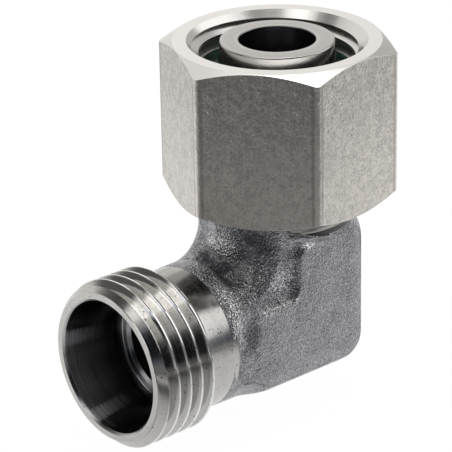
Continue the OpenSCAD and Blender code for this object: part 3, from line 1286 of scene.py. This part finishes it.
    def _soften(self, body: bpy.types.Object) -> None:
        """Remeshes the forging evenly and eases its edges, as a forging die and blasting do.

        Args:
            body: The forging, before it is drilled.
        """
        body.data.remesh_voxel_size = self.grain
        body.data.remesh_voxel_adaptivity = 0.0
        Bench.only(body)
        bpy.ops.object.voxel_remesh()
        ease = body.modifiers.new("Ease", "SMOOTH")
        ease.factor = 0.5
        ease.iterations = self.ease_passes
        bpy.ops.object.modifier_apply(modifier=ease.name)

    def _passage(self) -> bpy.types.Object:
        """Makes the drilled passage as a solid, with its two drill points.

        Returns:
            The solid to cut out.
        """
        upright = Bench.lathe("upright_drill", [
            (0, -self.nose_bore_r / DRILL_SLOPE), (self.nose_bore_r, 0), (self.nose_bore_r, self.nose_reach),
            (0, self.nose_reach)], steps=DRILL_STEPS, closed=False)
        level = Bench.lathe("level_drill", [
            (0, -1 - self.fixed_bore_r / DRILL_SLOPE), (self.fixed_bore_r, -1),
            (self.fixed_bore_r, self.fixed_reach), (0, self.fixed_reach)], steps=DRILL_STEPS, closed=False)
        Bench.settle(level, TO_FIXED)
        Bench.combine(upright, level, "UNION")
        return upright

    def fixed_port(self) -> bpy.types.Object:
        """Makes the turned fixed port: shank, helical thread, cone socket and tube stop.

        Returns:
            The port, in the frame.
        """
        tube, thread, face, start = self.tube, self.thread, self.fixed_reach, self.thread_start
        stop, cone_mouth = face - tube.socket_depth, face - self.mouth_chamfer
        cone_end = cone_mouth - (tube.cone_r - tube.socket_r) / tube.cone_slope
        back = self.forging_reach - 0.6
        port = Bench.lathe("threaded_port", rounded([
            (self.fixed_bore_r, back), (self.shank_r, back),
            (self.shank_r, start - thread.root_r + self.shank_r - 0.1), (thread.root_r, start - 0.1),
            (thread.root_r, face), (tube.cone_r + self.mouth_chamfer, face), (tube.cone_r, cone_mouth),
            (tube.socket_r, cone_end), (tube.socket_r, stop), (self.fixed_bore_r + self.stop_chamfer, stop),
            (self.fixed_bore_r, stop - self.stop_chamfer)],
            {2: 0.5, 5: 0.06, 8: 0.15, 9: 0.12}, segments=4), steps=TURN_STEPS)
        ridge = Bench.helix("thread_ridge", thread.ridge(
            thread.root_r, thread.major_r, thread.pitch / 10, 0.12), thread.pitch,
            math.ceil(self.thread_len / thread.pitch) + 2, start - 1.6 * thread.pitch)
        Bench.combine(ridge, self._thread_limit(), "INTERSECT")
        Bench.combine(port, ridge, "UNION")
        Bench.close(port, gap=TOUCH)
        Bench.place(port, Axis.FIXED)
        Bench.smooth(port, 24)
        return port

    def _thread_limit(self) -> bpy.types.Object:
        """Makes the ring that the outside thread is cut from, with its end chamfers.

        Returns:
            The ring.
        """
        thread, end = self.thread, self.fixed_reach - 0.07
        foot, sunk = thread.root_r - 0.05, thread.root_r - 0.2
        outer = thread.major_r + SLACK
        run_out = self.thread_start - (outer - self.shank_r) + 0.9
        return Bench.lathe("thread_limit", [
            (sunk, run_out), (foot, run_out - 0.15), (outer, self.thread_start),
            (outer, self.fixed_reach - thread.depth - SLACK), (foot, end), (sunk, end)], steps=TURN_STEPS)

    def nose(self) -> bpy.types.Object:
        """Makes the turned swivel nose: collar, stem, two grooves, cone, tip and bore.

        Returns:
            The nose, in the frame.
        """
        tube, tip = self.tube, self.nose_reach
        cone_z = tip - tube.socket_depth
        tip_z = cone_z + (tube.cone_r - tube.tube_r) / tube.cone_slope
        inner_r = self.collar_r - self.step_in
        outline = [(self.nose_bore_r, self.collar_base), (self.collar_r, self.collar_base),
                   (self.collar_r, self.collar_step), (inner_r, self.collar_step + self.step_in),
                   (inner_r, self.collar_top), (tube.cone_r, self.collar_top)]
        outline += self._ring_groove()
        outline += [(tube.cone_r, cone_z)]
        below, above = self.seal_z - self.seal_half, self.seal_z + self.seal_half
        low_r, high_r = (tube.cone_r - (z - cone_z) * tube.cone_slope for z in (below, above))
        outline += [(low_r, below), (self.seal_floor_r, below), (self.seal_floor_r, above),
                    (high_r, above), (tube.tube_r, tip_z), (tube.tube_r, tip), (self.nose_bore_r, tip)]
        last = len(outline) - 1
        nose = Bench.lathe("swivel_nose", rounded(outline, {
            4: 0.3, 5: 0.25, last - 1: 0.2, last: 0.15}, segments=6), steps=TURN_STEPS)
        Bench.place(nose)
        Bench.smooth(nose, 32)
        return nose

    def _ring_groove(self) -> list[Point]:
        """Works out the half-round groove for the retaining ring.

        Returns:
            Its points as radius and height.
        """
        reach = math.acos(min(1.0, (self.tube.cone_r - self.ring_r) / self.groove_r))
        steps = 12
        turns = [-reach - (math.tau - 2 * reach) * step / steps for step in range(steps + 1)]
        return [(self.ring_r + self.groove_r * math.cos(turn), self.ring_z + self.groove_r * math.sin(turn))
                for turn in turns]

    def build(self) -> None:
        """Makes the three pieces, which stand for the body's node, and dresses them."""
        made = [
            (self.forging(), BlastedForging().material()),
            (self.fixed_port(), TurnedSteel("turned_port", Axis.FIXED, self.tube.cone_r + 0.1,
                                            crest_r=self.thread.major_r - 0.12,
                                            # Painted shade on the top of the shank past this place
                                            shank_x=self.thread_len - self.fixed_reach,
                                            # Two painted highlight streaks inside the cone
                                            highlight_streaks=((0.994, 0.11), (0.37, -0.929))).material()),
            (self.nose(), TurnedSteel("turned_nose", Axis.SWIVEL, self.nose_bore_r + 0.1,
                                      colour=(0.5, 0.49, 0.475), rough=0.14, dirt=0.15,
                                      # Painted shade on the collar below its step, under the nut
                                      collar_shade_top=self.collar_step).material()),
        ]
        for piece, material in made:
            wear(piece, material)
            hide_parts("elbow_body")
            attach(piece, "elbow")
            log.info("%s: %d faces", piece.name, len(piece.data.polygons))


@dataclass
class SwivelNut:
    """The loose hexagon union nut with its inside thread.

    Args:
        thread: Form of the thread.
        flat_r: Distance of the hexagon's flats from the axis.
        face_r: Radius at which the end chamfers start.
        turn: Angle of a hexagon corner from X, in degrees.
        flange_t: Thickness of the inner flange.
        flange_bore_r: Radius of the hole in the flange.
        mouth_r: Outer radius of the chamfer at the mouth.
        relief_r: Radius of the thread relief.
        relief_top: Height of the thread relief's top above the nut's bottom.
        thread_turns: Turns of the groove that the inside thread is cut with.
        edge_w: Width of the round on the hexagon's long edges.
        bottom: Height of the nut's bottom over the crossing.
        top: Height of its top.
    """

    thread: ThreadForm
    flat_r: float = 11.0
    face_r: float = 10.9
    turn: float = 6.5
    flange_t: float = 3.4
    flange_bore_r: float = 7.35
    mouth_r: float = 9.45
    relief_r: float = 9.15
    relief_top: float = 7.9
    thread_turns: int = 8
    edge_w: float = 0.4
    bottom: float = 0.0
    top: float = 0.0

    def __post_init__(self) -> None:
        """Reads the nut's height from the frame."""
        low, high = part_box("swivel_nut")
        self.bottom = (low.z - crossing().z) / MM
        self.top = (high.z - crossing().z) / MM

    def hexagon(self) -> bpy.types.Object:
        """Makes the solid hexagon with its turned chamfers and eased edges.

        Returns:
            The hexagon.
        """
        Bench.clear()
        corner_r = self.flat_r / math.cos(math.radians(30))
        height, past = self.top - self.bottom, 1.0
        bpy.ops.mesh.primitive_cylinder_add(
            vertices=6, radius=corner_r, depth=height + past, location=(0, 0, self.bottom + height / 2))
        nut = bpy.context.object
        nut.name = "union_nut"
        nut.rotation_euler = Euler((0, 0, math.radians(self.turn - 90)))
        bpy.ops.object.transform_apply(location=True, rotation=True, scale=True)
        Bench.bevel(nut, self.edge_w, 4, lambda a, b: abs(a.z - b.z) > height / 2)
        reach = corner_r + past
        fall = (reach - self.face_r) * CHAMFER_SLOPE
        cone = Bench.lathe("chamfer_limit", rounded([
            (0, self.bottom), (self.face_r, self.bottom), (reach, self.bottom + fall),
            (reach, self.top - fall), (self.face_r, self.top), (0, self.top)],
            {1: 0.12, 4: 0.12}, segments=3), steps=CHAMFER_STEPS, closed=False)
        Bench.combine(nut, cone, "INTERSECT")
        return nut

    def bore(self) -> bpy.types.Object:
        """Makes what is cut out of the nut: flange hole, relief, thread and mouth.

        Returns:
            The solid to cut out.
        """
        crest_r = self.thread.inside_crest_r
        relief_r = self.relief_r
        z = self.bottom
        relief = z + self.relief_top
        shoulder = z + self.flange_t + relief_r - self.flange_bore_r
        hole = Bench.lathe("nut_bore", [
            (0, z - 0.5), (self.flange_bore_r + 0.8, z - 0.5), (self.flange_bore_r, z + 0.3),
            (self.flange_bore_r, z + self.flange_t), (relief_r, shoulder),
            (relief_r, relief), (crest_r, relief + relief_r - crest_r),
            (crest_r, self.top - self.mouth_r + crest_r), (self.mouth_r + 0.5, self.top + 0.5),
            (0, self.top + 0.5)], steps=TURN_STEPS, closed=False)
        groove = Bench.helix("thread_groove", self.thread.ridge(
            crest_r, self.thread.major_r + 0.1, self.thread.pitch / 8, 0.12), self.thread.pitch,
            self.thread_turns, relief - 0.4 + self.thread.pitch / 2)
        inner, outer, low, high = crest_r - 0.5, self.mouth_r + 0.3, relief - 0.2, self.top - 0.1
        limit = Bench.lathe("groove_limit", [
            (inner, low), (outer, low), (outer, high), (inner, high)], steps=TURN_STEPS)
        Bench.combine(groove, limit, "INTERSECT")
        Bench.combine(hole, groove, "UNION")
        return hole

    def build(self) -> None:
        """Makes the nut, which stands for its node, and dresses it."""
        nut = self.hexagon()
        Bench.combine(nut, self.bore(), "DIFFERENCE")
        Bench.place(nut)
        Bench.smooth(nut, 24)
        wear(nut, BrushedNut(self.flat_r, self.top, self.bottom, self.face_r).material())
        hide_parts("swivel_nut")
        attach(nut, "nut")
        log.info("%s: %d faces", nut.name, len(nut.data.polygons))


@dataclass
class SmallParts:
    """The retaining ring and the cone's seal, which keep their CAD shapes."""

    def build(self) -> None:
        """Gives both nodes their materials."""
        for name, finish in (("retaining_ring", SpringWire()), ("cone_o_ring", SealRubber())):
            wear(frame["nodes"][name], finish.material())
            log.info("%s: dressed", name)


@dataclass
class Studio:
    """Floor, lights, surroundings and camera.

    Args:
        azimuth: Turn of the view, in degrees, with 0 looking along +Y.
        elevation: Height of the view above the horizon, in degrees.
        roll: Turn of the picture about the view, in degrees.
        distance: Distance of the camera from its aim, in millimetres.
        aim_right: Offset of the aim from the crossing, to the picture's right, in millimetres.
        aim_up: Offset of the aim from the crossing, to the picture's top, in millimetres.
        focal_px: Focal length in pixels of the picture.
        picture_px: Width of the picture in pixels.
        offset_px: Offset of the lens's middle from the picture's, in pixels.
        floor_azimuth: Direction in which the floor that metal sees gets dark, in degrees from +X.
        floor_light: Distances from the crossing that way, in millimetres, and the floor's light there.
        lamp_reach: Distance of the lamps from the crossing, in metres.
        room_light: Colour of the room's light.
        room_shade: Colour of its dark side.
    """

    azimuth: float = -41.16
    elevation: float = 23.46
    roll: float = -0.98
    distance: float = 293.44
    aim_right: float = -4.74
    aim_up: float = 8.05
    focal_px: float = 2723.92
    picture_px: int = 452
    offset_px: Point = (9.8, -1.04)
    floor_azimuth: float = -128.0
    floor_light: tuple[Point, ...] = ((8.0, 1.0), (20.0, 0.8), (30.0, 0.5), (38.0, 0.1), (44.0, 0.1),
                                      (52.0, 0.5), (80.0, 0.17))
    lamp_reach: float = 0.6
    room_light: Colour = (1.0, 0.985, 0.96)
    room_shade: Colour = (0.86, 0.95, 1.15)

    def camera(self) -> None:
        """Makes the camera at the photograph's place."""
        data = bpy.data.cameras.new("camera")
        data.sensor_width = 36.0
        data.lens = self.focal_px / self.picture_px * data.sensor_width
        data.shift_x = -self.offset_px[0] / self.picture_px
        data.shift_y = self.offset_px[1] / self.picture_px
        data.clip_start = 0.01
        camera = bpy.data.objects.new("camera", data)
        bpy.context.collection.objects.link(camera)
        az, el = math.radians(self.azimuth), math.radians(self.elevation)
        back = Vector((math.sin(az) * math.cos(el), -math.cos(az) * math.cos(el), math.sin(el)))
        right = Vector((math.cos(az), math.sin(az), 0.0))
        up = back.cross(right)
        spin = Matrix.Rotation(math.radians(self.roll), 3, back)
        right, up = spin @ right, spin @ up
        eye = crossing() + (right * self.aim_right + up * self.aim_up + back * self.distance) * MM
        turn = Matrix((right, up, back)).transposed().to_4x4()
        camera.matrix_world = Matrix.Translation(eye) @ turn
        bpy.context.scene.camera = camera

    def floor(self) -> None:
        """Makes the pale floor under the part. Metal sees it fall dark before the camera's side."""
        Bench.clear()
        bpy.ops.mesh.primitive_plane_add(size=6.0, location=(0, 0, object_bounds()[0][2] - 0.0001))
        floor = bpy.context.object
        floor.name = "floor"
        kit = NodeKit.material("pale_floor")
        path = kit.node("ShaderNodeLightPath").socket.node
        rays = ("Is Camera Ray", "Is Transmission Ray", "Is Glossy Ray")
        camera, through, glossy = (Sock(kit, path.outputs[name]) for name in rays)
        camera = camera.at_least(through)
        seen = camera.at_least(glossy)
        az = math.radians(self.floor_azimuth)
        x, y = kit.split(kit.coords())[:2]
        reach = 100.0
        ahead = (x * math.cos(az) + y * math.sin(az)) / reach
        stops = [(way / reach, (level,) * 3) for way, level in self.floor_light]
        fade = kit.node("ShaderNodeValToRGB", {"stops": stops}, {0: ahead})
        light = (camera * 1.03).at_least(fade)
        matt = kit.node("ShaderNodeBsdfDiffuse", {}, {"Color": (0.8, 0.8, 0.8, 1.0)})
        white = kit.node("ShaderNodeEmission", {}, {"Color": light, "Strength": 1.0})
        both = kit.node("ShaderNodeMixShader", {}, {0: seen * 0.95, 1: matt, 2: white})
        kit.node("ShaderNodeOutputMaterial", {}, {"Surface": both})
        floor.data.materials.append(kit.owner)
        floor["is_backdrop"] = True

    def lamp(self, name: str, azimuth: float, elevation: float, size: Point, watts: float) -> None:
        """Adds a softbox that faces the part.

        Args:
            name: Name of the lamp.
            azimuth: Direction of the lamp from the part, in degrees from +X.
            elevation: Its height above the horizon, in degrees.
            size: Its width and height, in metres.
            watts: Its power.
        """
        data = bpy.data.lights.new(name, "AREA")
        data.shape = "RECTANGLE"
        data.size, data.size_y = size
        data.energy = watts
        lamp = bpy.data.objects.new(name, data)
        bpy.context.collection.objects.link(lamp)
        way = bearing(azimuth, elevation)
        lamp.location = crossing() + way * self.lamp_reach
        lamp.rotation_euler = way.to_track_quat("Z", "Y").to_euler()

    def surroundings(self) -> None:
        """Makes the room: bright behind and at the left, dark at the camera's side and in a ceiling gap."""
        world = bpy.data.worlds.new("room")
        bpy.context.scene.world = world
        kit = NodeKit(world)
        place = kit.node("ShaderNodeTexCoord", output="Generated")

        def toward(azimuth: float, elevation: float) -> Sock:
            """Returns how far a direction is toward one given in degrees, as a cosine."""
            return kit.node("ShaderNodeVectorMath", {"operation": "DOT_PRODUCT"},
                            {0: place, 1: bearing(azimuth, elevation)}, output="Value")

        high = kit.split(place)[2]
        light = 0.5 + toward(95, 15).ramp(0.2, 0.95) * 0.4 + high.ramp(0.75, 1.0) * 0.5
        dark = toward(-120, -8).ramp(0.10, 0.45) * high.ramp(0.42, 0.56, 1.0, 0.0)
        gap = toward(20, 49).ramp(0.968, 0.99).at_least(toward(136, 48).ramp(0.972, 0.99))
        left = toward(148, 12).ramp(0.76, 0.9)
        side = toward(-108, 28).ramp(0.55, 0.7)
        windows = toward(167, 27).ramp(0.965, 0.985) * 1.2 + toward(-173, 60).ramp(0.95, 0.985) * 0.9
        windows = windows + high.ramp(0.08, 0.16, 1.0, 0.0) * toward(-121, 0).ramp(0.82, 0.95) * 0.4
        windows = windows + toward(49, 23.5).ramp(0.94, 0.98) * 0.24
        light = light * (1.0 - dark * 0.9) * (1.0 - gap * 0.8) * (1.0 - left * 0.85) * (1.0 - side * 0.8)
        light = light + windows
        tint = kit.mix(dark, self.room_light, self.room_shade)
        back = kit.node("ShaderNodeBackground", {}, {"Color": tint, "Strength": light})
        kit.node("ShaderNodeOutputWorld", {}, {"Surface": back})

    def build(self) -> None:
        """Makes everything round the part."""
        self.camera()
        self.floor()
        self.surroundings()
        self.lamp("key", -26, 40, (0.6, 0.66), 1.05)
        self.lamp("overhead", 0, 82, (0.28, 0.28), 0.5)
        bpy.context.scene.view_settings.view_transform = "Standard"


def main() -> None:
    """Builds the fitting and the studio."""
    logging.basicConfig(level=logging.INFO, format="%(name)s: %(message)s")
    thread = ThreadForm()
    ElbowBody(TubeSize(), thread).build()
    SwivelNut(thread).build()
    SmallParts().build()
    Studio().build()


if __name__ == "__main__":
    main()
